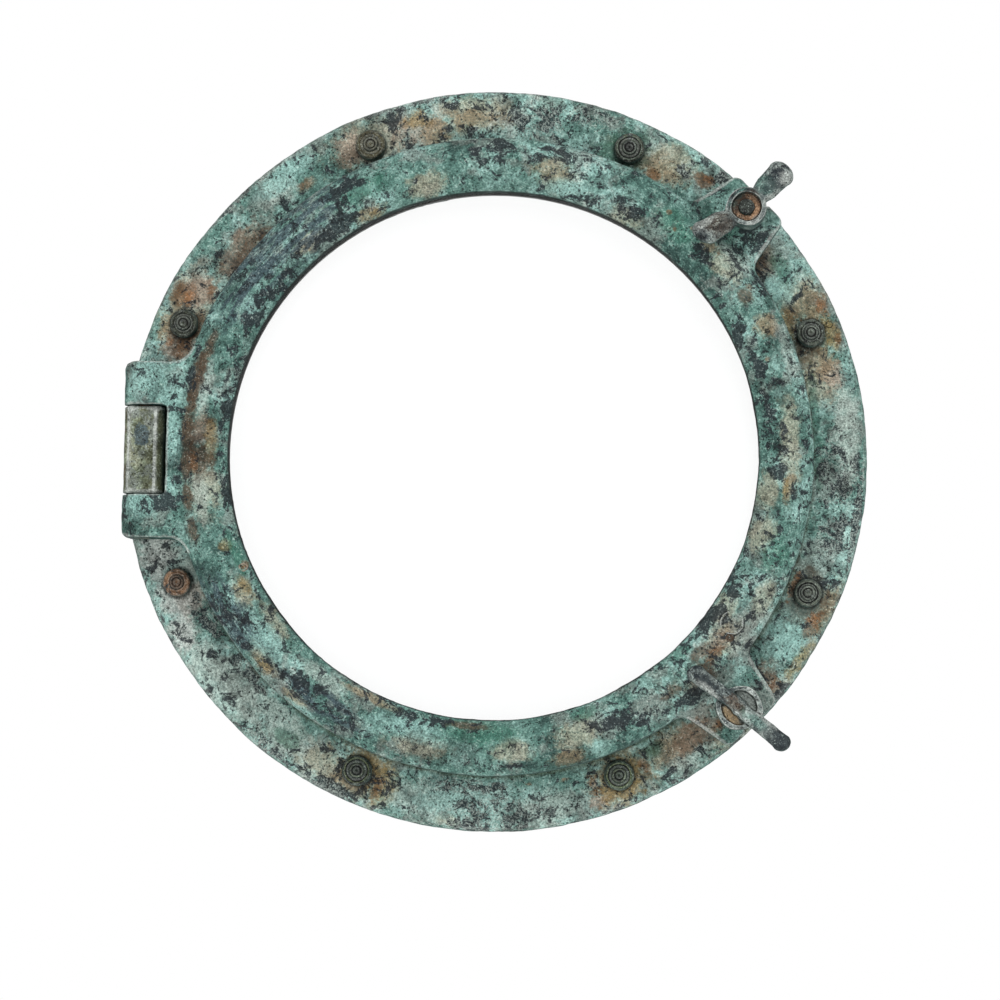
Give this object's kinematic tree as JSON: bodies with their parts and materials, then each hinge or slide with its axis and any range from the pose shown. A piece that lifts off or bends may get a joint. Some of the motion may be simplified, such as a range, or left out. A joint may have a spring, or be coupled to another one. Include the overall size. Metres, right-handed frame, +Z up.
{
  "type": "round window",
  "caption": "Round cast bronze opening window: a flanged wall frame with a tube, a hinged glass frame, and swing-bolt dogs with wing nuts that clamp it shut.",
  "frame": {"origin": "centre of the flange's back face, in the plane of the wall", "axes": "+Z up, +X to the right as seen from inside the room, +Y into the wall; the window faces -Y and hinges on its left"},
  "size_m": [0.381, 0.0923, 0.381],
  "materials": {
    "flange_bronze": "cast bronze with pale green verdigris, dark speckle and rust-brown stains",
    "frame_bronze": "cast bronze with teal verdigris, slate patches and tan wear",
    "wing_bronze": "grey-green cast bronze with worn pale edges",
    "pin_bronze": "brown bronze",
    "stud_bronze": "olive-brown bronze",
    "nut_bronze": "dark olive corroded bronze",
    "ring_brass": "dull brass",
    "screw_brass": "dull brass",
    "seal_rubber": "matte black rubber",
    "clear_glass": "clear flat glass"
  },
  "bodies": {
    "wall_frame": {"base_frame": "flange_bronze", "hinge_pin": "pin_bronze", "upper_pivot_pin": "pin_bronze", "lower_pivot_pin": "pin_bronze", "wall_stud_1": "stud_bronze", "wall_stud_2": "stud_bronze", "wall_stud_3": "stud_bronze", "wall_stud_4": "stud_bronze", "wall_stud_5": "stud_bronze", "wall_stud_6": "stud_bronze", "wall_stud_7": "stud_bronze", "wall_stud_8": "stud_bronze", "wall_nut_1": "nut_bronze", "wall_nut_2": "nut_bronze", "wall_nut_3": "nut_bronze", "wall_nut_4": "nut_bronze", "wall_nut_5": "nut_bronze", "wall_nut_6": "nut_bronze", "wall_nut_7": "nut_bronze", "wall_nut_8": "nut_bronze"},
    "opening_frame": {"glass_frame": "frame_bronze", "main_seal": "seal_rubber", "glass_gasket": "seal_rubber", "glass_pane": "clear_glass", "retaining_ring": "ring_brass", "retainer_screw_1": "screw_brass", "retainer_screw_2": "screw_brass", "retainer_screw_3": "screw_brass", "retainer_screw_4": "screw_brass", "retainer_screw_5": "screw_brass", "retainer_screw_6": "screw_brass", "retainer_screw_7": "screw_brass", "retainer_screw_8": "screw_brass"},
    "upper_dog": {"upper_swing_bolt": "pin_bronze"},
    "upper_dog_washer": {"upper_washer": "pin_bronze"},
    "upper_dog_nut": {"upper_wing_nut": "wing_bronze"},
    "lower_dog": {"lower_swing_bolt": "pin_bronze"},
    "lower_dog_washer": {"lower_washer": "pin_bronze"},
    "lower_dog_nut": {"lower_wing_nut": "wing_bronze"}
  },
  "joints": [
    {"name": "frame_swing", "type": "hinge", "parent": "wall_frame", "child": "opening_frame", "pos_m": [-0.1785, -0.0214, 0], "axis": [0, 0, -1], "range_deg": [0, 165]},
    {"name": "upper_dog_swing", "type": "hinge", "parent": "wall_frame", "child": "upper_dog", "pos_m": [0.12622, -0.0125, 0.12622], "axis": [-0.7071, 0, 0.7071], "range_deg": [0, 75]},
    {"name": "upper_washer_travel", "type": "slide", "parent": "upper_dog", "child": "upper_dog_washer", "axis": [0, -1, 0], "range_m": [0, 0.0097]},
    {"name": "upper_nut_spin", "type": "hinge", "parent": "upper_dog_washer", "child": "upper_dog_nut", "pos_m": [0.12622, -0.036, 0.12622], "axis": [0, -1, 0], "range_deg": [0, 2790]},
    {"name": "lower_dog_swing", "type": "hinge", "parent": "wall_frame", "child": "lower_dog", "pos_m": [0.12622, -0.0125, -0.12622], "axis": [0.7071, 0, 0.7071], "range_deg": [0, 75]},
    {"name": "lower_washer_travel", "type": "slide", "parent": "lower_dog", "child": "lower_dog_washer", "axis": [0, -1, 0], "range_m": [0, 0.0097]},
    {"name": "lower_nut_spin", "type": "hinge", "parent": "lower_dog_washer", "child": "lower_dog_nut", "pos_m": [0.12622, -0.036, -0.12622], "axis": [0, -1, 0], "range_deg": [0, 2790]}
  ],
  "couplings": [
    {"joint": "upper_washer_travel", "follows": "upper_nut_spin", "m_per_rad": 0.00019894},
    {"joint": "lower_washer_travel", "follows": "lower_nut_spin", "m_per_rad": 0.00019894}
  ]
}
